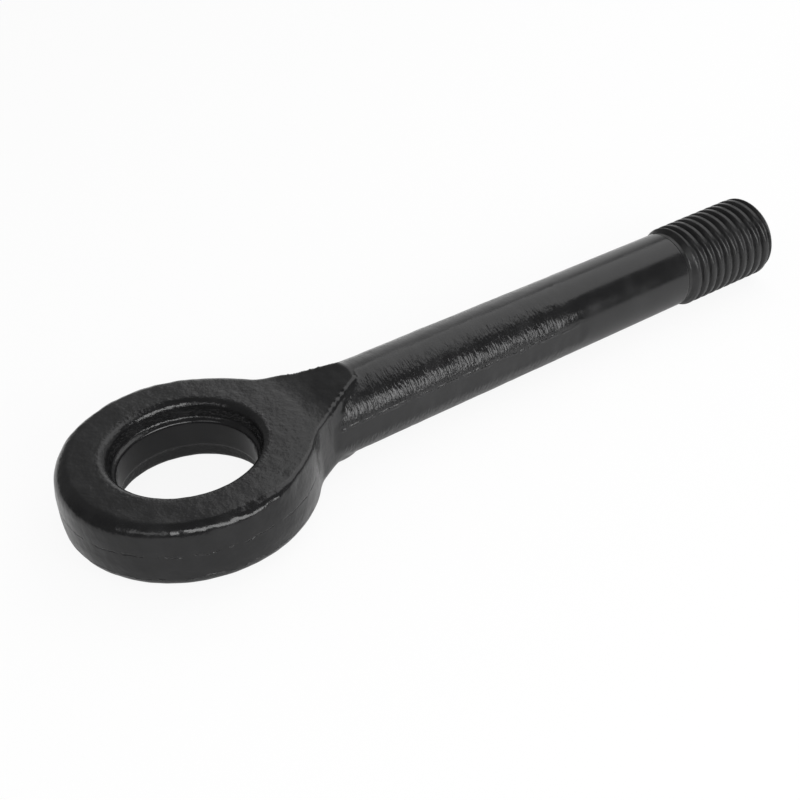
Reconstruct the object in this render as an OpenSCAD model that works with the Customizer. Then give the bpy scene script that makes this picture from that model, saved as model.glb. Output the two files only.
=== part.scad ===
// Tow eye: a forged steel ring on a round shank that ends in a coarse metric thread.
// Origin at the middle of the eye. +Z runs along the axis of the eye, +X along the shank to the thread.

// Piece to draw

/* [Eye] */
// Outside diameter of the ring
eye_od = 54; // [50:0.5:60]
// Thickness of the ring between its flat faces
eye_t = 15; // [13:0.5:17]
// Diameter of the straight land in the middle of the hole
bore_d = 29; // [26:0.5:31]
// Length of the straight land, along the axis of the eye
bore_land = 6; // [4:0.5:7]
// Width of the step from the land out to the wall of the die pocket
pocket_step = 1; // [0.5:0.1:1.5]
// Radius round the mouth of the hole
mouth_r = 1.8; // [1:0.1:2.2]
// Radius on the outer edges of the ring
rim_r = 3; // [2:0.1:3.6]
// Height of the band round the side where the flash was trimmed off
trim_h = 5; // [3:0.5:6]
// Lean of the forged walls, in degrees
draft = 7; // [3:0.5:9]

/* [Neck] */
// Distance from the eye to the bend where the flat face starts to climb to the shank
neck_bend = 28; // [24:0.5:32]
// Distance from the eye to the point where the climb meets the crown of the shank
neck_tip = 39; // [37:0.5:44]
// Radius of the hollow sides of the neck, seen from above
neck_sweep = 100; // [70:5:160]

/* [Shank] */
// Diameter of the shank where the neck ends
shank_d = 19.3; // [18.5:0.1:20.5]
// Diameter of the shank where the thread starts, the blank of a rolled thread
blank_d = 18.4; // [18:0.1:18.8]
// Distance from the eye to the end of the forged skin, where the turned end starts
forged_end = 102; // [80:1:115]
// Depth to which the flash is trimmed into the sides of the shank
trim_depth = 0.35; // [0.2:0.05:0.5]

/* [Thread] */
// Outside diameter over the crests
thread_d = 20; // [20:0.5:22]
// Pitch of the thread
thread_pitch = 2.5; // [2:0.25:2.5]
// Length of the threaded part
thread_len = 27; // [22:0.5:32]
// Distance from the eye to the end of the thread
end_x = 158.5; // [145:0.5:175]
// Chamfer at the end of the thread
end_chamfer = 1.5; // [0.5:0.1:2]

/* [Hidden] */
steel = [0.1, 0.1, 0.105];
// Longer than any cut needs, and a small overlap for solids that join or cut each other
big = 60;
lap = 1;
$fn = 96;

eye_r = eye_od / 2;
half_t = eye_t / 2;
bore_r = bore_d / 2;
shank_r = shank_d / 2;
blank_r = blank_d / 2;
crest_r = thread_d / 2;
thread_x = end_x - thread_len;

// Outside of the ring: upright over the trimmed band, then leaning in by the draft to the rounded edge
rim_z = half_t - rim_r;
rim_x = eye_r - (rim_z - trim_h / 2) * tan(draft) - rim_r / cos(draft);

// Hole: the land, a step out to the pocket, the leaning pocket wall and the rounded mouth
foot_r = bore_r + pocket_step;
foot_z = bore_land / 2 + pocket_step;
mouth_z = half_t - mouth_r;
mouth_x = foot_r + (mouth_z - foot_z) * tan(draft) + mouth_r / cos(draft);

// Neck, seen from above: each hollow side touches the ring at this angle and ends at the tip.
// It keeps clear of the trimmed band by a hair, so the band stands proud all the way round.
band_proud = 0.05;
neck_r = eye_r - band_proud;
side_angle = acos((neck_r ^ 2 + 2 * neck_r * neck_sweep + neck_tip ^ 2) / (2 * neck_tip * (neck_r + neck_sweep)));
// The rounded edge leaves the ring along a straight line from this angle, and so dies away on the neck
edge_angle = side_angle + 15;
// The neck starts a little nearer the shank, where that line has just parted from the ring
start_angle = side_angle + 10;
climb = (shank_r - half_t) / (neck_tip - neck_bend);

// Shank: it starts inside the ring and tapers evenly to the blank of the thread
shank_x = (foot_r + eye_r) / 2;
taper = (shank_r - blank_r) / (thread_x - neck_tip);
trim_fade = 10 * trim_depth;

// Thread: 60 degree flanks and a flat root, as grooves counted back from the end
root_r = crest_r - 0.6134 * thread_pitch;
groove_foot = thread_pitch / 12;
groove_lip = groove_foot + (crest_r - root_r) * tan(30);
lead_in = (crest_r - blank_r) / tan(30);
groove_count = floor((thread_len - lead_in - groove_lip) / thread_pitch - 0.5);

function polar(r, a) = [r * cos(a), r * sin(a)];

// Upper half of the ring's section, from x = inner out to the band
module rim_half(inner) {
    polygon([
        [inner, -lap],
        [eye_r, -lap],
        [eye_r, trim_h / 2],
        [rim_x + rim_r * cos(draft), rim_z + rim_r * sin(draft)],
        [rim_x, half_t],
        [inner, half_t]
    ]);
    translate([rim_x, rim_z]) circle(rim_r);
}

module rim_section(inner) {
    rim_half(inner);
    mirror([0, 1]) rim_half(inner);
}

module hole_half() {
    difference() {
        polygon([
            [0, 0],
            [bore_r, 0],
            [bore_r, bore_land / 2],
            [foot_r, foot_z],
            [mouth_x - mouth_r * cos(draft), mouth_z + mouth_r * sin(draft)],
            [mouth_x, mouth_z],
            [mouth_x, half_t + lap],
            [0, half_t + lap]
        ]);
        translate([mouth_x, mouth_z]) circle(mouth_r);
    }
}

// The land is a plain cylinder, and a pocket opens from it on each side
module hole() {
    cylinder(r = bore_r, h = bore_land + lap, center = true);
    for (side = [0, 1]) mirror([0, 0, side]) rotate_extrude() hole_half();
}

// Arrowhead from the ring to the crown of the shank, with hollow sides
module neck_outline() {
    intersection() {
        circle(neck_r);
        polygon([[0, 0], polar(big, -start_angle), [big, 0], polar(big, start_angle)]);
    }
    difference() {
        polygon([[0, 0], polar(neck_r, -side_angle), [neck_tip, 0], polar(neck_r, side_angle)]);
        for (side = [-1, 1]) translate(polar(neck_r + neck_sweep, side * side_angle)) circle(neck_sweep);
    }
}

// Bar with the ring's rounded edge, laid along the tangent to the ring at angle a
module edge_bar(a) {
    rotate([0, 0, a]) rotate([90, 0, 0]) linear_extrude(2 * big, center = true) rim_section(-eye_r);
}

// Space above the flat face and the climb, which the crown of the shank may not enter
module above_climb() {
    past_tip = neck_tip + 4 * lap;
    rotate([90, 0, 0]) linear_extrude(big, center = true) polygon([
        [0, half_t],
        [neck_bend, half_t],
        [past_tip, half_t + (past_tip - neck_bend) * climb],
        [past_tip, big],
        [0, big]
    ]);
}

module neck() {
    intersection() {
        linear_extrude(big, center = true) neck_outline();
        edge_bar(edge_angle);
        edge_bar(-edge_angle);
    }
    difference() {
        intersection() {
            linear_extrude(shank_d, center = true) neck_outline();
            translate([neck_bend, -big / 2, -big / 2]) cube(big);
        }
        for (side = [0, 1]) mirror([0, 0, side]) above_climb();
    }
}

module ring() {
    rotate_extrude() rim_section(0);
}

function taper_r(x) = shank_r - (x - neck_tip) * taper;

// The flash is trimmed to a flat on each side of the shank, which runs out where the turned end starts
module trimmed_side() {
    linear_extrude(shank_d, center = true) polygon([
        [shank_x - lap, taper_r(shank_x - lap) - trim_depth],
        [forged_end - trim_fade, taper_r(forged_end - trim_fade) - trim_depth],
        [forged_end, taper_r(forged_end)],
        [forged_end, big],
        [shank_x - lap, big]
    ]);
}

module shank() {
    difference() {
        rotate([90, 0, 90]) rotate_extrude() polygon([
            [0, shank_x],
            [taper_r(shank_x), shank_x],
            [blank_r, thread_x],
            [0, thread_x]
        ]);
        for (side = [0, 1]) {
            mirror([0, 0, side]) above_climb();
            mirror([0, side, 0]) trimmed_side();
        }
    }
}

function groove_x(i) = end_x - (i + 0.5) * thread_pitch;

// Revolved crests and grooves, which start from a cone on the end of the shank
module thread() {
    rotate([90, 0, 90]) rotate_extrude() polygon([
        [0, thread_x],
        [blank_r, thread_x],
        [crest_r, thread_x + lead_in],
        for (i = [groove_count:-1:1]) each [
            [crest_r, groove_x(i) - groove_lip],
            [root_r, groove_x(i) - groove_foot],
            [root_r, groove_x(i) + groove_foot],
            [crest_r, groove_x(i) + groove_lip]
        ],
        [crest_r, end_x - end_chamfer],
        [crest_r - end_chamfer, end_x],
        [0, end_x]
    ]);
}

module forging() {
    difference() {
        union() {
            ring();
            neck();
            shank();
        }
        hole();
    }
}

module tow_eye() {
    color(steel) union() {
        forging();
        thread();
    }
}

tow_eye();
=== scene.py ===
"""Tow eye: a forged ring on a round shank that ends in a rolled thread, in glossy black paint.

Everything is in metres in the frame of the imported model. The origin is the middle of the eye,
+Z runs along the axis of the eye and +X along the shank to the end of the thread.
"""
import logging
import math
from dataclasses import dataclass, field
from enum import Enum

import bmesh
import bpy
import numpy as np
from mathutils import Matrix, Vector


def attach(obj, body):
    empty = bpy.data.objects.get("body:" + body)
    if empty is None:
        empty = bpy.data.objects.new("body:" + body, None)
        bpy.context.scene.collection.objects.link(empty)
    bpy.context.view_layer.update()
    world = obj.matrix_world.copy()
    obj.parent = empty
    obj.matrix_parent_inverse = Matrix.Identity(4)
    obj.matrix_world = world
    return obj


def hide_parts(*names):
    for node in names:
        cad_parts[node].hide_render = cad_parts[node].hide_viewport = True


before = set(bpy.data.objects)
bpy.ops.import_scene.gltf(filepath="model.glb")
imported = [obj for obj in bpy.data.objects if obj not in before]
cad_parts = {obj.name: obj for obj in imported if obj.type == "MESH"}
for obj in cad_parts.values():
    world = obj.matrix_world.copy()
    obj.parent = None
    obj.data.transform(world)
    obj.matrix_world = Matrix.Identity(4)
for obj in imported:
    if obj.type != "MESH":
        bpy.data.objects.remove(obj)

LOG = logging.getLogger("tow_eye")
MM = 0.001
CAD_NODE = "tow_eye"
BODY = "root"

# Sizes that more than one class needs, in millimetres, with places along the shank from the eye
EYE_R = 26.94
BORE_R = 14.5
NECK_BEND = 28.0
NECK_TIP = 39.0
NECK_HALF = 10.4
NECK_SLANT = math.radians(33)
FORGED_END = 102.0
THREAD_X = 131.5
END_X = 158.5
FLOOR_Z = -10.0

# Where a change begins and where it ends
Span = tuple[float, float]


# Shader and geometry graphs


class Sock:
    """A number or a vector from a node graph, which Python's operators work on where it is a number.

    Args:
        graph: the graph that it is in.
        link: the output socket that gives it, or None after a node without outputs.
    """

    def __init__(self, graph: "Graph", link: bpy.types.NodeSocket | None) -> None:
        """Keep the graph and the socket."""
        self.graph = graph
        self.link = link

    def maths(self, operation: str, *values: "Sock | float") -> "Sock":
        """Return the result of one Math node on this number and the other values."""
        inputs = dict(enumerate((self, *values)))
        return self.graph.node("ShaderNodeMath", {"operation": operation}, inputs)

    def after(self, operation: str, first: float) -> "Sock":
        """Return the result of one Math node on a plain number and then this one."""
        return self.graph.node("ShaderNodeMath", {"operation": operation}, {0: first, 1: self})

    def __add__(self, other: "Sock | float") -> "Sock":
        """Return self + other."""
        return self.maths("ADD", other)

    def __radd__(self, other: float) -> "Sock":
        """Return other + self."""
        return self.after("ADD", other)

    def __sub__(self, other: "Sock | float") -> "Sock":
        """Return self - other."""
        return self.maths("SUBTRACT", other)

    def __rsub__(self, other: float) -> "Sock":
        """Return other - self."""
        return self.after("SUBTRACT", other)

    def __mul__(self, other: "Sock | float") -> "Sock":
        """Return self * other."""
        return self.maths("MULTIPLY", other)

    def __rmul__(self, other: float) -> "Sock":
        """Return other * self."""
        return self.after("MULTIPLY", other)

    def __truediv__(self, other: "Sock | float") -> "Sock":
        """Return self / other."""
        return self.maths("DIVIDE", other)

    def __pow__(self, other: "Sock | float") -> "Sock":
        """Return self ** other."""
        return self.maths("POWER", other)

    def __abs__(self) -> "Sock":
        """Return the size of the number without its sign."""
        return self.maths("ABSOLUTE")

    def most(self, other: "Sock | float") -> "Sock":
        """Return the greater of two numbers."""
        return self.maths("MAXIMUM", other)

    def least(self, other: "Sock | float") -> "Sock":
        """Return the lesser of two numbers."""
        return self.maths("MINIMUM", other)

    def rise(self, low: float, high: float) -> "Sock":
        """Return 0 below low, 1 above high and a smooth step between them."""
        inputs = {"Value": self, "From Min": low, "From Max": high}
        return self.graph.node("ShaderNodeMapRange", {"interpolation_type": "SMOOTHSTEP"}, inputs)

    def fall(self, low: float, high: float) -> "Sock":
        """Return 1 below low, 0 above high and a smooth step between them."""
        return 1.0 - self.rise(low, high)


class Graph:
    """Adds nodes to a node tree.

    Args:
        tree: the tree that the nodes go into.
    """

    def __init__(self, tree: bpy.types.NodeTree) -> None:
        """Keep the tree."""
        self.tree = tree

    def node(
        self,
        kind: str,
        settings: dict[str, object] | None = None,
        inputs: dict[str | int, object] | None = None,
        output: str | int = 0,
    ) -> Sock:
        """Add a node.

        Args:
            kind: the type of the node.
            settings: its settings, which are set before its sockets.
            inputs: a value or a link for each socket, by name or by number.
            output: the socket to return.

        Returns:
            The chosen output.
        """
        made = self.tree.nodes.new(kind)
        for name, value in (settings or {}).items():
            setattr(made, name, value)
        for name, value in (inputs or {}).items():
            if isinstance(value, Sock):
                self.tree.links.new(value.link, made.inputs[name])
            else:
                made.inputs[name].default_value = value
        return Sock(self, made.outputs[output] if made.outputs else None)

    def other(self, sock: Sock, output: str) -> Sock:
        """Return another output of the node that a socket belongs to."""
        return Sock(self, sock.link.node.outputs[output])


class Shading(Graph):
    """Builds the nodes of one material or world.

    Args:
        tree: the node tree to fill, which is emptied first.
    """

    def __init__(self, tree: bpy.types.NodeTree) -> None:
        """Empty the tree and keep it."""
        super().__init__(tree)
        tree.nodes.clear()

    def split(self, vector: Sock) -> tuple[Sock, Sock, Sock]:
        """Return the x, y and z of a vector."""
        x = self.node("ShaderNodeSeparateXYZ", None, {0: vector}, "X")
        return x, self.other(x, "Y"), self.other(x, "Z")

    def place(self) -> Sock:
        """Return the place on the object in millimetres."""
        spot = self.node("ShaderNodeTexCoord", output="Object")
        return self.node("ShaderNodeVectorMath", {"operation": "SCALE"}, {0: spot, "Scale": 1 / MM})

    def noise(self, spot: Sock, size: float, detail: float = 2.0, rough: float = 0.5) -> Sock:
        """Return noise from 0 to 1 with features about size millimetres wide."""
        inputs = {"Vector": spot, "Scale": 1 / size, "Detail": detail, "Roughness": rough}
        return self.node("ShaderNodeTexNoise", None, inputs, "Fac")

    def stretch(self, spot: Sock, factors: tuple[float, float, float]) -> Sock:
        """Return the place with each axis scaled, so that a pattern on it is drawn out."""
        return self.node("ShaderNodeVectorMath", {"operation": "MULTIPLY"}, {0: spot, 1: factors})

    def blend(self, share: Sock, first: tuple[float, ...], second: tuple[float, ...]) -> Sock:
        """Return a colour between two colours."""
        settings = {"data_type": "RGBA", "blend_type": "MIX"}
        return self.node("ShaderNodeMix", settings, {0: share, 6: first, 7: second}, 2)


# Finishes


class Skin(Enum):
    """How the steel under the paint was made."""

    FORGED = "forged"
    ROLLED = "rolled"


@dataclass(frozen=True)
class BlackPaint:
    """Glossy black paint over forged, turned and rolled steel.

    Args:
        colour: colour of the paint.
        worn: colour where the paint is thin.
        gloss: roughness of the paint where it is smooth.
        grain_depth: depth of the forging grain under the paint, in metres.
        stroke: width of the fine strokes across the shank, in millimetres.
        broad_stroke: width of the broad strokes among them, in millimetres.
        peel: width of the pimples in the paint and in the scale under it, in millimetres.
        cloud: width of the patches in which the gloss changes, in millimetres.
        burr_z: height of the burr along the trimmed flat, in millimetres.
        parting_z: height of the parting line round the ring, in millimetres.
        flash_z: height of the flash line below it, in millimetres.
    """

    colour: tuple[float, float, float, float] = (0.009, 0.009, 0.0094, 1.0)
    worn: tuple[float, float, float, float] = (0.014, 0.014, 0.0145, 1.0)
    gloss: float = 0.14
    grain_depth: float = 0.00016
    stroke: float = 0.40
    broad_stroke: float = 1.1
    peel: float = 0.9
    cloud: float = 6.0
    burr_z: float = 2.1
    parting_z: float = 1.2
    flash_z: float = -4.9

    def material(self, skin: Skin) -> bpy.types.Material:
        """Build the paint for one skin.

        Args:
            skin: the skin under the paint.

        Returns:
            The material.
        """
        made = bpy.data.materials.new(f"black_paint_{skin.value}")
        made.use_nodes = True
        graph = Shading(made.node_tree)
        spot = graph.place()
        x, y, z = graph.split(spot)
        if skin is Skin.FORGED:
            height = self.shank_height(graph, spot, x, y, z) + self.ring_height(graph, spot, x, y, z)
            satin = 0.02 * x.rise(FORGED_END - 5, FORGED_END + 2)
        else:
            height = 0.5 * graph.noise(spot, 1.2)
            satin = 0.14 * x.rise(0.0, 1.0)
        height = height + 0.03 * graph.noise(spot, self.peel, 1.0)
        bump = {"Strength": 1.0, "Distance": self.grain_depth, "Height": height}
        normal = graph.node("ShaderNodeBump", None, bump, "Normal")
        patches = graph.noise(spot, self.cloud, 3.0)
        colour = graph.blend(patches.rise(0.4, 0.75), self.colour, self.worn)
        rough = self.gloss + 0.10 * patches.rise(0.3, 0.7) + satin
        shown = {"Base Color": colour, "Roughness": rough, "Normal": normal}
        shader = graph.node("ShaderNodeBsdfPrincipled", None, shown)
        graph.node("ShaderNodeOutputMaterial", None, {"Surface": shader})
        return made

    def shank_height(self, graph: Shading, spot: Sock, x: Sock, y: Sock, z: Sock) -> Sock:
        """Draw the strokes across the shank and the burr along its trimmed flat.

        Args:
            graph: the graph to add them to.
            spot: the place on the object.
            x: its distance along the shank.
            y: its distance across the shank.
            z: its height.

        Returns:
            The height of the skin, as a share of the depth of the grain.
        """
        across = graph.stretch(spot, (1.0, 0.25, 0.25))
        fine = graph.noise(across, self.stroke) - 0.5
        broad = graph.noise(across, self.broad_stroke) - 0.5
        past_side = (abs(y) - NECK_HALF) * math.cos(NECK_SLANT) + (x - NECK_BEND) * math.sin(NECK_SLANT)
        past_neck = past_side.most(x - NECK_TIP).rise(0.7, 1.3) * x.rise(NECK_BEND, NECK_BEND + 1)
        on_shank = past_neck * x.fall(FORGED_END - 20, FORGED_END)
        off_flat = abs(z).rise(2.0, 2.6)
        off_crown = 0.12 + 0.88 * abs(y).rise(3.0, 5.5)
        strokes = (1.4 * fine + 1.1 * broad) * on_shank * off_flat * off_crown
        return strokes + self.seam(graph, spot, z, self.burr_z, 0.5) * on_shank

    def ring_height(self, graph: Shading, spot: Sock, x: Sock, y: Sock, z: Sock) -> Sock:
        """Draw the scale on the ring, rougher round the mouth, and the lines round its side.

        Args:
            graph: the graph to add them to.
            spot: the place on the object.
            x: its distance along the shank.
            y: its distance across the shank.
            z: its height.

        Returns:
            The height of the skin, as a share of the depth of the grain.
        """
        from_eye = (x * x + y * y) ** 0.5
        on_ring = from_eye.rise(BORE_R + 0.1, BORE_R + 0.7) * x.fall(NECK_BEND - 1, NECK_TIP + 1)
        scale = graph.noise(spot, self.peel, 3.0, 0.55) - 0.5
        mouth = 1.0 + 1.5 * from_eye.fall(BORE_R + 3, BORE_R + 4)
        round_side = from_eye.rise(26.0, 26.6) * x.fall(20.0, 24.0)
        parting = self.seam(graph, spot, z, self.parting_z) * round_side
        flash = self.seam(graph, spot, z, self.flash_z) * round_side
        return 0.4 * scale * mouth * on_ring - 1.2 * parting + 0.8 * flash

    def seam(self, graph: Shading, spot: Sock, z: Sock, level: float, width: float = 0.25) -> Sock:
        """Draw a broken line that wanders about one height.

        Args:
            graph: the graph to add it to.
            spot: the place on the object.
            z: the height of that place.
            level: the height that the line keeps to.
            width: half the width of the line, in millimetres.

        Returns:
            The strength of the line, 1 on it and 0 beside it.
        """
        wander = graph.noise(spot, 4.0) - 0.5
        line = abs(z + 1.6 * wander - level).fall(0.2 * width, width)
        return line * graph.noise(spot, 2.2, 1.0).rise(0.40, 0.50)


# Forging


def round_max(first: np.ndarray, second: np.ndarray, radius: float | np.ndarray) -> np.ndarray:
    """Cut one solid by another and round the edge between them.

    Args:
        first: depth outside the first solid, negative inside it.
        second: depth outside the second solid.
        radius: radius of the edge.

    Returns:
        The depth outside what both solids share.
    """
    over = np.hypot(np.maximum(first + radius, 0), np.maximum(second + radius, 0))
    return np.minimum(-radius, np.maximum(first, second)) + over


def round_min(first: np.ndarray, second: np.ndarray, radius: float | np.ndarray) -> np.ndarray:
    """Join two solids and fill the corner between them with a hollow of this radius."""
    return -round_max(-first, -second, radius)


def soft_min(first: np.ndarray, second: np.ndarray, reach: float) -> np.ndarray:
    """Return the lesser of two depths, with a soft bend where they differ by less than reach."""
    near = np.maximum(reach - np.abs(first - second), 0)
    return np.minimum(first, second) - near * near / (4 * reach)


def soft_max(first: np.ndarray, second: np.ndarray, reach: float) -> np.ndarray:
    """Return the greater of two depths, with a soft bend where they differ by less than reach."""
    return -soft_min(-first, -second, reach)


def ease(value: np.ndarray, low: float, high: float) -> np.ndarray:
    """Return 0 below low, 1 above high and a smooth step between them."""
    t = np.clip((value - low) / (high - low), 0, 1)
    return t * t * (3 - 2 * t)


def fade(value: np.ndarray, low: float, high: float) -> np.ndarray:
    """Return 1 below low, 0 above high and a smooth step between them."""
    return 1 - ease(value, low, high)


class Spots:
    """Points near the forging, in millimetres, with the measures that its shape goes by.

    Attributes:
        ay: distance from the middle plane along the shank.
        az: distance from the middle plane of the ring.
        rho: distance from the axis of the eye.
        turn: angle round the eye from the shank, in degrees, alike on both sides.
    """

    def __init__(self, p: np.ndarray) -> None:
        """Work out the measures of each point.

        Args:
            p: the points, one a row.
        """
        self.p = p
        self.x, self.y, self.z = p.T
        self.ay = np.abs(self.y)
        self.az = np.abs(self.z)
        self.rho = np.hypot(self.x, self.ay)
        self.turn = np.degrees(np.arctan2(self.ay, self.x))


@dataclass
class Forging:
    """The ring, the neck and the shank as one forged piece, up to the start of the thread.

    Its skin is the zero level of a depth function, in millimetres, so every edge and corner
    has its own radius and the surface is smooth under a glossy paint. A span whose name ends
    in turn is in degrees round the eye from the shank.
    """

    # Ring, with the band round its side where the flash was trimmed
    half_t: float = 7.5
    rim_r: float = 3.0
    band_half: float = 2.5
    draft: float = math.radians(7)
    lean_turn: Span = (30.0, 55.0)

    # Upper edge, which grows from the neck's sharp edge to the ring's round one
    edge_r: float = 0.8
    front_turn: Span = (55.0, 85.0)
    back_turn: Span = (125.0, 165.0)
    below_turn: Span = (8.0, 14.0)
    far_turn: Span = (18.0, 30.0)
    climb_edge_z: Span = (8.6, 9.4)

    # Hole
    land_half: float = 3.0
    pocket_step: float = 1.0
    ledge_z: float = 3.2
    ledge_rise: float = 0.25
    hole_edge: float = 0.5
    mouth_r: float = 1.6

    # Neck, with hollows where it meets the ring and the shank
    neck_hollow: float = 1.0
    crease_r: float = 0.4
    corner_r: float = 1.6
    corner_z: Span = (2.5, 5.5)
    climb_bend: float = 0.6
    bead: float = 0.10
    bead_step: float = 1.7
    bead_start: Span = (28.5, 29.5)
    bead_end: Span = (35.0, 37.0)

    # Shank, with the flats where the flash was trimmed
    shank_r: float = 9.65
    blank_r: float = 9.2
    shank_start: float = 20.0
    trim_depth: float = 0.35
    trim_edge: float = 0.12
    scallop: float = 0.05
    shoulder_x: float = 130.8
    shoulder_r: float = 0.7

    # Uneven skin, roughest on the ring's outer upper edge
    wave: float = 0.025
    dent: float = 0.014
    rough_edge: tuple[float, float] = (26.0, 6.5)
    rough_start_turn: Span = (50.0, 60.0)
    rough_end_turn: Span = (120.0, 145.0)
    seed: int = 7
    waves: list[tuple[np.ndarray, float, float]] = field(default_factory=list)

    # Size of the mesh's faces
    cell: float = 0.41

    def __post_init__(self) -> None:
        """Draw the long waves and the short dents of the forged skin."""
        rng = np.random.default_rng(self.seed)
        for shortest, longest, height in ((5.0, 13.0, self.wave), (1.7, 4.0, self.dent)):
            for _ in range(16):
                way = rng.normal(size=3)
                way *= 2 * math.pi / rng.uniform(shortest, longest) / np.linalg.norm(way)
                self.waves.append((way, rng.uniform(0, 2 * math.pi), height / 4))

    def waviness(self, at: Spots) -> np.ndarray:
        """Work out how uneven the forged skin is.

        Args:
            at: the points.

        Returns:
            The depth of the skin below its even form at each point.
        """
        total = np.zeros(len(at.p))
        for way, phase, height in self.waves:
            total += np.sin(at.p @ way + phase) * height
        forged = fade(at.x, FORGED_END - 4, FORGED_END) * ease(at.rho, BORE_R + 0.1, BORE_R + 0.9)
        edge_rho, edge_z = self.rough_edge
        near_edge = np.exp(-((at.rho - edge_rho) ** 2 + (at.az - edge_z) ** 2) / 2.5)
        near_edge *= ease(at.turn, *self.rough_start_turn) * fade(at.turn, *self.rough_end_turn)
        return total * forged * (1 + 3 * near_edge * ease(at.z, 0, 1))

    def ring_side(self, at: Spots) -> np.ndarray:
        """Shape the ring's side, upright near the neck and leaning in above the trimmed band elsewhere.

        Args:
            at: the points.

        Returns:
            The depth of each point outside it.
        """
        lean = self.draft * ease(at.turn, *self.lean_turn)
        out = at.rho - EYE_R
        return soft_max(out, out * np.cos(lean) + (at.az - self.band_half) * np.sin(lean), 0.1)

    def neck_slant(self, at: Spots) -> np.ndarray:
        """Return the depth of each point outside the straight line of the neck's side."""
        return (at.ay - NECK_HALF) * math.cos(NECK_SLANT) + (at.x - NECK_BEND) * math.sin(NECK_SLANT)

    def neck_side(self, at: Spots) -> np.ndarray:
        """Return the depth of each point outside the neck, which starts within the ring."""
        return np.maximum(np.maximum(self.neck_slant(at), BORE_R + 0.5 - at.x), at.x - NECK_TIP)

    def climb(self, at: Spots) -> np.ndarray:
        """Shape the flat face and the climb from it to the crown of the shank.

        Args:
            at: the points.

        Returns:
            The depth of each point outside them.
        """
        slope = (self.shank_r - self.half_t) / (NECK_TIP - NECK_BEND)
        flat_top = at.az - self.half_t
        ramp = (flat_top - (at.x - NECK_BEND) * slope) / math.hypot(1, slope)
        return soft_min(flat_top, ramp, self.climb_bend)

    def edge(self, at: Spots) -> np.ndarray:
        """Round the upper edge: sharp along the near side of the neck, rounder elsewhere.

        Args:
            at: the points.

        Returns:
            The radius of the edge at each point.
        """
        near_side = 0.6 * ease(at.turn, *self.front_turn) + 0.4 * ease(at.turn, *self.back_turn)
        below = ease(at.turn, *self.below_turn) * fade(at.z, -1, 1)
        far_side = ease(at.turn, *self.far_turn) * ease(at.y, 0, 5)
        grown = np.maximum(np.maximum(near_side, below), far_side)
        radius = self.edge_r + (self.rim_r - self.edge_r) * grown
        return radius * (1 - 0.5 * ease(at.az, *self.climb_edge_z))

    def beads(self, at: Spots, top: np.ndarray) -> np.ndarray:
        """Raise the row of beads that the die left along the upper edge of the climb.

        Args:
            at: the points.
            top: the depth of each point outside the climb.

        Returns:
            The height of the beads at each point.
        """
        along = (at.x - NECK_BEND) * math.cos(NECK_SLANT) - (at.ay - NECK_HALF) * math.sin(NECK_SLANT)
        out = self.neck_side(at)
        near = np.exp(-(out * out + top * top) / 0.6) * ease(at.z, 0, 1)
        near *= ease(at.x, *self.bead_start) * fade(at.x, *self.bead_end)
        return self.bead * (0.6 + np.sin(2 * math.pi * along / self.bead_step)) * near

    def shank(self, at: Spots) -> np.ndarray:
        """Shape the tapered shank, with the ragged flats where the flash was trimmed.

        Args:
            at: the points.

        Returns:
            The depth of each point outside it.
        """
        x = at.x
        taper = (self.shank_r - self.blank_r) / (THREAD_X - NECK_TIP)
        radius = self.shank_r - (x - NECK_TIP) * taper
        trimmed = fade(x, FORGED_END - 6, FORGED_END)
        flat = radius - self.trim_depth * trimmed + 0.5 * (1 - trimmed)
        # Waves of unlike lengths, so that the ragged line doesn't repeat
        scallop = np.sin(x * 1.1) * np.sin(x * 0.31 + 1.0) + 0.6 * np.sin(x * 2.3 + 2.0 * np.sin(x * 0.23))
        ragged = self.scallop * scallop * trimmed * fade(at.z, -2, 1)
        side = round_max(np.hypot(at.ay, at.z) - radius, at.ay - flat + ragged, self.trim_edge)
        return np.maximum(side, self.shank_start - x)

    def hole(self, at: Spots) -> np.ndarray:
        """Shape the hole: the land, the ledge above it and the leaning wall of the die pocket.

        Args:
            at: the points.

        Returns:
            The depth of each point into the hole, positive in it.
        """
        land = BORE_R - at.rho
        ledge = (self.ledge_rise * land + at.az - self.ledge_z) / math.hypot(self.ledge_rise, 1)
        foot_x = BORE_R + self.pocket_step
        foot_z = self.land_half + self.pocket_step
        wall = (foot_x - at.rho) * math.cos(self.draft) + (at.az - foot_z) * math.sin(self.draft)
        return round_max(land, round_min(ledge, wall, self.hole_edge), self.hole_edge)

    def depth(self, p: np.ndarray) -> np.ndarray:
        """Put the forging together.

        Args:
            p: points, one a row, in millimetres.

        Returns:
            The depth of each point outside the forging, negative inside it.
        """
        at = Spots(p)
        corner = self.crease_r + (self.corner_r - self.crease_r) * ease(at.z, *self.corner_z)
        wall = round_min(self.ring_side(at), self.neck_side(at), self.neck_hollow)
        side = round_min(wall, self.shank(at), corner)
        top = self.climb(at)
        solid = round_max(side, top, self.edge(at)) - self.beads(at, top)
        solid = round_max(solid, self.hole(at), self.mouth_r) + self.waviness(at)
        return round_max(solid, at.x - self.shoulder_x, self.shoulder_r)

    def slope(self, p: np.ndarray, reach: float = 0.02) -> np.ndarray:
        """Work out how the depth changes.

        Args:
            p: points, one a row, in millimetres.
            reach: how far to both sides of a point it is compared.

        Returns:
            The change along each axis at each point.
        """
        parts = []
        for axis in range(3):
            shift = np.zeros(3)
            shift[axis] = reach
            parts.append((self.depth(p + shift) - self.depth(p - shift)) / (2 * reach))
        return np.stack(parts, axis=1)

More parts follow.
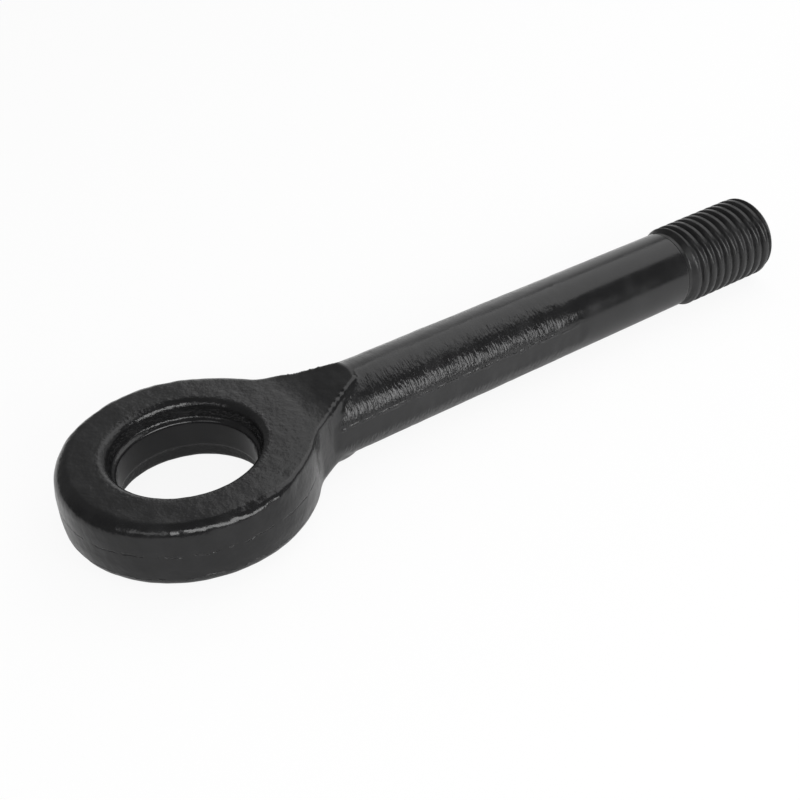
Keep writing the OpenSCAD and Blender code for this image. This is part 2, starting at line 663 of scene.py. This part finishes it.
    def settle(self, p: np.ndarray, edges: np.ndarray, rounds: int = 6) -> np.ndarray:
        """Move points onto the zero level and even out their spacing on it.

        Args:
            p: points near the skin.
            edges: pairs of neighbours.
            rounds: how often the spacing is evened out.

        Returns:
            The points on the skin.
        """
        count = np.bincount(edges.ravel(), minlength=len(p))[:, None]
        p = self.drop(p)
        for _ in range(rounds):
            near = np.zeros_like(p)
            for axis in range(3):
                near[:, axis] += np.bincount(edges[:, 0], p[edges[:, 1], axis], len(p))
                near[:, axis] += np.bincount(edges[:, 1], p[edges[:, 0], axis], len(p))
            pull = near / count - p
            normal = self.slope(p)
            normal /= np.maximum(np.linalg.norm(normal, axis=1), 1e-6)[:, None]
            p = self.drop(p + 0.6 * (pull - normal * (pull * normal).sum(1)[:, None]))
        return p

    def drop(self, p: np.ndarray) -> np.ndarray:
        """Move points straight to the zero level, in three steps of Newton's method.

        Args:
            p: points near the skin.

        Returns:
            The points on the skin.
        """
        for _ in range(3):
            way = self.slope(p)
            size = np.maximum((way * way).sum(1), 0.05)
            step = np.clip(self.depth(p) / size, -0.3, 0.3)
            p = p - way * step[:, None]
        return p

    def blank(self) -> bpy.types.Object:
        """Cut a copy of the CAD node off behind the shoulder and give it an even mesh.

        Returns:
            The copy, with its Remesh modifier still live.
        """
        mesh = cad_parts[CAD_NODE].data.copy()
        work = bmesh.new()
        work.from_mesh(mesh)
        bmesh.ops.remove_doubles(work, verts=work.verts, dist=0.002 * MM)
        parts = list(work.verts) + list(work.edges) + list(work.faces)
        shoulder = {"plane_co": (self.shoulder_x * MM, 0, 0), "plane_no": (1, 0, 0)}
        cut = bmesh.ops.bisect_plane(work, geom=parts, clear_outer=True, **shoulder)
        rim = [item for item in cut["geom_cut"] if isinstance(item, bmesh.types.BMEdge)]
        bmesh.ops.contextual_create(work, geom=rim)
        work.to_mesh(mesh)
        work.free()
        made = bpy.data.objects.new("blank", mesh)
        bpy.context.scene.collection.objects.link(made)
        remesh = made.modifiers.new("even", "REMESH")
        remesh.mode = "VOXEL"
        remesh.voxel_size = self.cell * MM
        return made

    def build(self, paint: bpy.types.Material) -> bpy.types.Object:
        """Make the forging.

        Args:
            paint: its material.

        Returns:
            The finished piece.
        """
        blank = self.blank()
        evaluated = blank.evaluated_get(bpy.context.evaluated_depsgraph_get())
        mesh = bpy.data.meshes.new_from_object(evaluated)
        mesh.name = "forged_eye_and_shank"
        bpy.data.objects.remove(blank)
        p = np.zeros(len(mesh.vertices) * 3)
        mesh.vertices.foreach_get("co", p)
        edges = np.zeros(len(mesh.edges) * 2, int)
        mesh.edges.foreach_get("vertices", edges)
        p = self.settle(p.reshape(-1, 3) / MM, edges.reshape(-1, 2))
        mesh.vertices.foreach_set("co", (p * MM).ravel())
        mesh.materials.clear()
        mesh.materials.append(paint)
        mesh.shade_smooth()
        mesh.update()
        made = bpy.data.objects.new(mesh.name, mesh)
        bpy.context.scene.collection.objects.link(made)
        return made


# Thread


class Maker(Graph):
    """Builds the nodes of one Geometry Nodes group with named inputs."""

    def __init__(self, name: str) -> None:
        """Start an empty group with one geometry input and output.

        Args:
            name: name of the group.
        """
        super().__init__(bpy.data.node_groups.new(name, "GeometryNodeTree"))
        for way in ("INPUT", "OUTPUT"):
            self.tree.interface.new_socket("Geometry", in_out=way, socket_type="NodeSocketGeometry")
        self.start = self.tree.nodes.new("NodeGroupInput")
        self.end = self.tree.nodes.new("NodeGroupOutput")
        self.values: dict[str, object] = {}

    def given(self, name: str, value: object, kind: str = "NodeSocketFloat") -> Sock:
        """Add a named input to the group.

        Args:
            name: name of the input.
            value: what the modifier sets it to.
            kind: type of its socket.

        Returns:
            The input.
        """
        made = self.tree.interface.new_socket(name, in_out="INPUT", socket_type=kind)
        self.values[made.identifier] = value
        return Sock(self, self.start.outputs[name])

    def finish(self, geometry: Sock, paint: Sock) -> None:
        """Give the group its result, with smooth shading, no instances and its material.

        Args:
            geometry: the mesh.
            paint: the material.
        """
        smooth = self.node("GeometryNodeSetShadeSmooth", None, {"Geometry": geometry})
        real = self.node("GeometryNodeRealizeInstances", None, {"Geometry": smooth})
        painted = self.node("GeometryNodeSetMaterial", None, {"Geometry": real, "Material": paint})
        self.tree.links.new(painted.link, self.end.inputs[0])

    def run(self, name: str) -> bpy.types.Object:
        """Run the group on an empty mesh.

        Args:
            name: name of the object.

        Returns:
            An object with the plain result as its mesh and no modifier.
        """
        carrier = bpy.data.objects.new(name, bpy.data.meshes.new(name))
        bpy.context.scene.collection.objects.link(carrier)
        modifier = carrier.modifiers.new(name, "NODES")
        modifier.node_group = self.tree
        for identifier, value in self.values.items():
            modifier[identifier] = value
        evaluated = carrier.evaluated_get(bpy.context.evaluated_depsgraph_get())
        mesh = bpy.data.meshes.new_from_object(evaluated)
        carrier.modifiers.remove(modifier)
        mesh.name = name
        carrier.data = mesh
        return carrier


@dataclass
class RolledThread:
    """The rolled thread, as one strip a pitch wide that is wound round the shank.

    Past each end the strip runs in over the end face to the axis, so the piece is closed.
    Sizes are in millimetres and angles in degrees. The run-out is the stretch over which the
    grooves get their full depth.
    """

    crest_r: float = 9.98
    pitch: float = 2.5
    start_x: float = 129.8
    chamfer: float = 1.4
    relief_r: float = 8.9
    groove_x: float = 134.75
    run_out: Span = (130.75, 134.45)
    facing: float = -128.0
    segments: int = 96
    rows: int = 24

    def build(self, paint: bpy.types.Material) -> bpy.types.Object:
        """Make the thread.

        Args:
            paint: its material.

        Returns:
            The finished piece.
        """
        maker = Maker("wound_thread")
        pitch = maker.given("Pitch", self.pitch)
        crest = maker.given("Crest Radius", self.crest_r)
        start = maker.given("Start", self.start_x)
        end = maker.given("End", END_X)
        groove = maker.given("First Groove", self.groove_x)
        finish = maker.given("Finish", paint, "NodeSocketMaterial")

        strip, wound, part = self.strip(maker)
        lead_turns = math.ceil((self.groove_x - self.start_x) / self.pitch) + 1.5
        along = groove + pitch * (wound + part - lead_turns)
        fading = along.rise(*self.run_out)
        radius = crest - (crest - self.section(crest, pitch, part)) * fading
        radius = self.cones(maker, radius, along, crest, end)
        past_ends = (start - along).most(0.0) + (along - end).most(0.0)
        radius = radius * (1.0 - past_ends / pitch).most(0.0)

        angle = wound * (2 * math.pi) + math.radians(self.facing)
        spot = {
            "X": along.least(end).most(start) * MM,
            "Y": radius * angle.maths("COSINE") * MM,
            "Z": radius * angle.maths("SINE") * MM,
        }
        place = maker.node("ShaderNodeCombineXYZ", None, spot)
        wrapped = maker.node("GeometryNodeSetPosition", None, {"Geometry": strip, "Position": place})
        merge = {"Geometry": wrapped, "Distance": 0.002 * MM}
        maker.finish(maker.node("GeometryNodeMergeByDistance", None, merge), finish)
        made = maker.run("rolled_thread")
        self.face_out(made.data)
        return made

    def strip(self, maker: Maker) -> tuple[Sock, Sock, Sock]:
        """Lay out the flat strip, long enough for the turns and for both ends.

        Args:
            maker: the group to add it to.

        Returns:
            The strip, the turns wound at each of its points, and the place across it from 0 to 1.
        """
        turns = math.ceil((END_X - self.start_x) / self.pitch) + 4
        sides = {"Size X": turns, "Size Y": 1.0}
        counts = {"Vertices X": turns * self.segments + 1, "Vertices Y": self.rows + 1}
        strip = maker.node("GeometryNodeMeshGrid", None, sides | counts, "Mesh")
        here = maker.node("GeometryNodeInputPosition")
        wound = maker.node("ShaderNodeSeparateXYZ", None, {0: here}, "X") + turns / 2
        part = maker.node("ShaderNodeSeparateXYZ", None, {0: here}, "Y") + 0.5
        return strip, wound, part

    def section(self, crest: Sock, pitch: Sock, part: Sock) -> Sock:
        """Shape one groove, with a round root, 60 degree flanks and a crest that is rolled over.

        Args:
            crest: radius of the crests.
            pitch: pitch of the thread.
            part: place across the strip.

        Returns:
            The radius of the thread there.
        """
        root = crest - 0.40 * pitch
        off = abs(part - 0.5) * pitch
        rest = 0.5 * pitch - off
        flank = root + (off - pitch / 16.0) / math.tan(math.radians(30))
        bottom = flank.maths("SMOOTH_MAX", root, 0.5)
        return bottom.maths("SMOOTH_MIN", crest - 0.12 * rest * rest, 0.5)

    def cones(self, maker: Maker, radius: Sock, along: Sock, crest: Sock, end: Sock) -> Sock:
        """Turn the lead-in cone and the end chamfer, both at 45 degrees, off the thread.

        Args:
            maker: the group to add them to.
            radius: radius of the thread.
            along: place along the shank.
            crest: radius of the crests.
            end: end of the thread.

        Returns:
            The radius that is left.
        """
        relief = maker.given("Relief Radius", self.relief_r)
        lead = maker.given("Lead In", THREAD_X)
        chamfer = maker.given("Chamfer", self.chamfer)
        lead_cone = relief + (along - lead).most(0.0)
        end_cone = crest - chamfer + (end - along).most(0.0)
        return radius.maths("SMOOTH_MIN", lead_cone, 0.3).maths("SMOOTH_MIN", end_cone, 1.2)

    @staticmethod
    def face_out(mesh: bpy.types.Mesh) -> None:
        """Turn the faces of a closed mesh outwards.

        Args:
            mesh: the mesh to change.
        """
        work = bmesh.new()
        work.from_mesh(mesh)
        bmesh.ops.recalc_face_normals(work, faces=work.faces)
        work.to_mesh(mesh)
        work.free()


# Studio


@dataclass
class Camera:
    """The camera at the photograph's place, fitted to the outlines in it.

    Lengths are in millimetres and angles in degrees.
    """

    pivot_x: float = 72.0
    distance: float = 320.459
    azimuth: float = -31.357
    elevation: float = 34.958
    roll: float = -4.422
    slide: tuple[float, float] = (-17.023, -9.441)
    focal_pixels: float = 1408.394
    frame_pixels: float = 800.0
    sensor: float = 36.0

    def build(self) -> None:
        """Add the camera and make it the scene's own."""
        az, el, roll = (math.radians(a) for a in (self.azimuth, self.elevation, self.roll))
        back = Vector((math.sin(az) * math.cos(el), -math.cos(az) * math.cos(el), math.sin(el)))
        right = Vector((math.cos(az), math.sin(az), 0))
        up = back.cross(right)
        slid = right * self.slide[0] + up * self.slide[1]
        spot = Vector((self.pivot_x, 0, 0)) + back * self.distance + slid
        across = right * math.cos(roll) + up * math.sin(roll)
        upward = up * math.cos(roll) - right * math.sin(roll)
        data = bpy.data.cameras.new("camera")
        data.sensor_width = self.sensor
        data.lens = self.focal_pixels / self.frame_pixels * self.sensor
        data.clip_start = 0.01
        made = bpy.data.objects.new("camera", data)
        turned = Matrix((across, upward, back)).transposed().to_4x4()
        made.matrix_world = Matrix.Translation(spot * MM) @ turned
        bpy.context.scene.collection.objects.link(made)
        bpy.context.scene.camera = made


@dataclass
class Lamp:
    """One soft lamp that points at a target, turned about its own axis by the roll in degrees."""

    name: str
    place: tuple[float, float, float]
    size: tuple[float, float]
    power: float
    target: tuple[float, float, float]
    roll: float = 0.0

    def build(self) -> None:
        """Add the lamp."""
        data = bpy.data.lights.new(self.name, "AREA")
        data.shape = "RECTANGLE"
        data.size, data.size_y = self.size
        data.energy = self.power
        made = bpy.data.objects.new(self.name, data)
        aim = (Vector(self.target) - Vector(self.place)).to_track_quat("-Z", "Y").to_matrix().to_4x4()
        turned = Matrix.Rotation(math.radians(self.roll), 4, "Z")
        made.matrix_world = Matrix.Translation(self.place) @ aim @ turned
        bpy.context.scene.collection.objects.link(made)


@dataclass
class Studio:
    """A pale floor, a room that only reflections and soft light show, and three soft lamps.

    Strengths are shares of white. Bearings are in degrees from +X towards +Y, heights in the room
    are sines of the angle above the horizon, and reaches on the floor are in millimetres in front
    of the eye.
    """

    floor_size: float = 4.0
    near_shade: Span = (0.0, 30.0)
    far_shade: Span = (60.0, 200.0)
    room: float = 0.10
    soft_light: float = 0.50
    wall_start: Span = (-25.0, -10.0)
    wall_end: Span = (65.5, 69.0)
    bright_start: Span = (38.0, 54.0)
    dim_wall: float = 0.12
    wall_foot: float = 0.33
    bright_wall: float = 0.78
    lamps: list[Lamp] = field(
        default_factory=lambda: [
            Lamp("panel", (0.41, 0.08, 0.36), (0.50, 0.46), 0.87, (0.41, 0.08, 0.0)),
            Lamp("front", (0.02, -0.50, 0.24), (0.76, 0.22), 2.7, (0.03, 0.0, 0.0), -20.0),
            Lamp("left", (-0.46, -0.19, 0.33), (0.30, 0.20), 0.28, (0.0, 0.0, 0.0)),
        ]
    )

    def floor(self) -> None:
        """Add the floor, which keeps the object's soft shadow."""
        mesh = bpy.data.meshes.new("floor")
        half = self.floor_size / 2
        signs = ((-1, -1), (1, -1), (1, 1), (-1, 1))
        corners = [(along * half, across * half, FLOOR_Z * MM) for along, across in signs]
        mesh.from_pydata(corners, [], [(0, 1, 2, 3)])
        mesh.materials.append(self.paper())
        made = bpy.data.objects.new("floor", mesh)
        bpy.context.scene.collection.objects.link(made)

    def paper(self) -> bpy.types.Material:
        """Make the white of the floor, with painted shade in front of the object that only reflections
        see.

        Returns:
            The material.
        """
        made = bpy.data.materials.new("white_paper")
        made.use_nodes = True
        graph = Shading(made.node_tree)
        matt = graph.node("ShaderNodeBsdfDiffuse", None, {"Color": (0.9, 0.9, 0.9, 1)})
        white = graph.node("ShaderNodeEmission", None, {"Color": (1, 1, 1, 1), "Strength": 1.0})
        camera = graph.node("ShaderNodeLightPath", output="Is Camera Ray")
        glossy = graph.other(camera, "Is Glossy Ray")
        share = 0.9 * camera + 0.08 * glossy + graph.other(camera, "Is Transmission Ray")
        lit = graph.node("ShaderNodeMixShader", None, {0: share, 1: matt, 2: white})
        x, y, _ = graph.split(graph.place())
        # Painted shade of the object's shadow on the floor: glossy rays see the floor darker in front of
        # the eye
        front = -0.5 * x - 0.87 * y
        painted_shade = glossy * (0.3 * front.rise(*self.near_shade) + 0.6 * front.rise(*self.far_shade))
        shade = graph.node("ShaderNodeBsdfDiffuse", None, {"Color": (0.02, 0.02, 0.02, 1)})
        shader = graph.node("ShaderNodeMixShader", None, {0: painted_shade, 1: lit, 2: shade})
        graph.node("ShaderNodeOutputMaterial", None, {"Surface": shader})
        return made

    def surroundings(self) -> None:
        """Set the world: white for the camera, even for soft light, and a room for reflections."""
        world = bpy.data.worlds.new("studio")
        bpy.context.scene.world = world
        world.use_nodes = True
        graph = Shading(world.node_tree)
        x, y, z = graph.split(graph.node("ShaderNodeTexCoord", output="Generated"))
        bearing = y.maths("ARCTAN2", x) * (180 / math.pi)
        on_wall = bearing.rise(*self.wall_start) * bearing.fall(*self.wall_end)
        up_wall = z.fall(0.6, 0.8) * (0.8 + 0.2 * z.fall(0.38, 0.55))
        foot = self.wall_foot * z.fall(0.1, 0.3) * bearing.fall(*self.bright_start)
        bright = self.bright_wall * bearing.rise(*self.bright_start)
        wall = on_wall * up_wall * (self.dim_wall + foot + bright)
        past_wall = bearing.rise(*self.wall_end) * bearing.fall(110.0, 150.0) * z.fall(0.75, 0.9)
        behind = past_wall * (0.08 + 0.16 * bearing.fall(68.0, 86.0))
        room = self.room + wall + behind
        camera = graph.node("ShaderNodeLightPath", output="Is Camera Ray")
        diffuse = graph.other(camera, "Is Diffuse Ray")
        strength = room.most(camera) * (1.0 - diffuse) + self.soft_light * diffuse
        light = graph.node("ShaderNodeBackground", None, {"Color": (1, 1, 1, 1), "Strength": strength})
        graph.node("ShaderNodeOutputWorld", None, {"Surface": light})

    def build(self) -> None:
        """Add the floor, the surroundings and the lamps."""
        self.floor()
        self.surroundings()
        for lamp in self.lamps:
            lamp.build()


# Scene


def main() -> None:
    """Build the camera, the studio and the pieces."""
    logging.basicConfig(level=logging.INFO, format="%(name)s: %(message)s")
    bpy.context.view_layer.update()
    bpy.context.scene.view_settings.view_transform = "Standard"
    Camera().build()
    Studio().build()
    paint = BlackPaint()

    forging = Forging().build(paint.material(Skin.FORGED))
    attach(forging, BODY)
    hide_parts(CAD_NODE)
    LOG.info("%s: %d faces", forging.name, len(forging.data.polygons))

    thread = RolledThread().build(paint.material(Skin.ROLLED))
    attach(thread, BODY)
    LOG.info("%s: %d faces", thread.name, len(thread.data.polygons))


if __name__ == "__main__":
    main()
